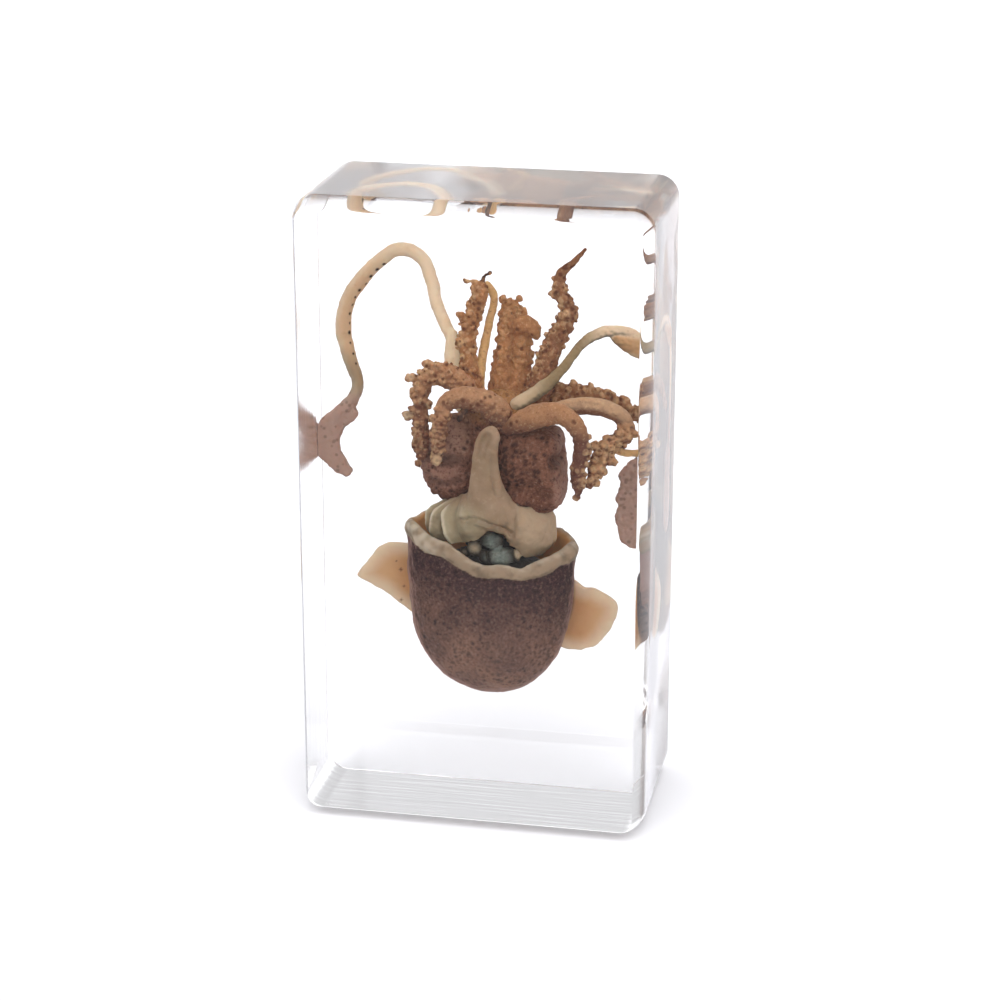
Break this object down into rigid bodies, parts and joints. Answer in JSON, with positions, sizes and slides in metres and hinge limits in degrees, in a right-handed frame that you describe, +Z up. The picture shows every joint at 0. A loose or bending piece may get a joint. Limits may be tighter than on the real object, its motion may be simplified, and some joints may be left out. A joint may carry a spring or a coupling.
{
  "type": "cuttlefish in acrylic block",
  "caption": "Small preserved cuttlefish with spread arms and long tentacles, sealed in a clear upright acrylic block that stands on its narrow end.",
  "frame": {"origin": "middle of the flat face that the block stands on", "axes": "+Z up along the block's longest side, +X to the right across the front face, +Y from the front face to the back"},
  "size_m": [0.04, 0.021, 0.0725],
  "materials": {
    "acrylic": "clear cast acrylic, polished on every face",
    "mantle_skin": "purple-brown preserved skin with fine dark speckle and a cream cut rim, peach fins",
    "head_skin": "purple-brown preserved skin with dark pits",
    "funnel_flesh": "smooth beige preserved flesh",
    "viscera": "grey-green and tan preserved organs",
    "arm_skin": "tan-brown preserved skin with dark dots and pale suckers",
    "tentacle_skin": "peach-cream preserved skin, brown at the club"
  },
  "bodies": {
    "root": {"block_front": "acrylic", "block_back": "acrylic", "mantle": "mantle_skin", "funnel": "funnel_flesh", "viscera": "viscera", "head": "head_skin", "arm_left_upright": "arm_skin", "arm_middle": "arm_skin", "arm_right_upright": "arm_skin", "arm_left_curl": "arm_skin", "arm_front_left": "arm_skin", "arm_front_right": "arm_skin", "arm_right_hooked": "arm_skin", "arm_right_rear": "arm_skin", "tentacle_left": "tentacle_skin", "tentacle_right": "tentacle_skin"}
  },
  "joints": []
}
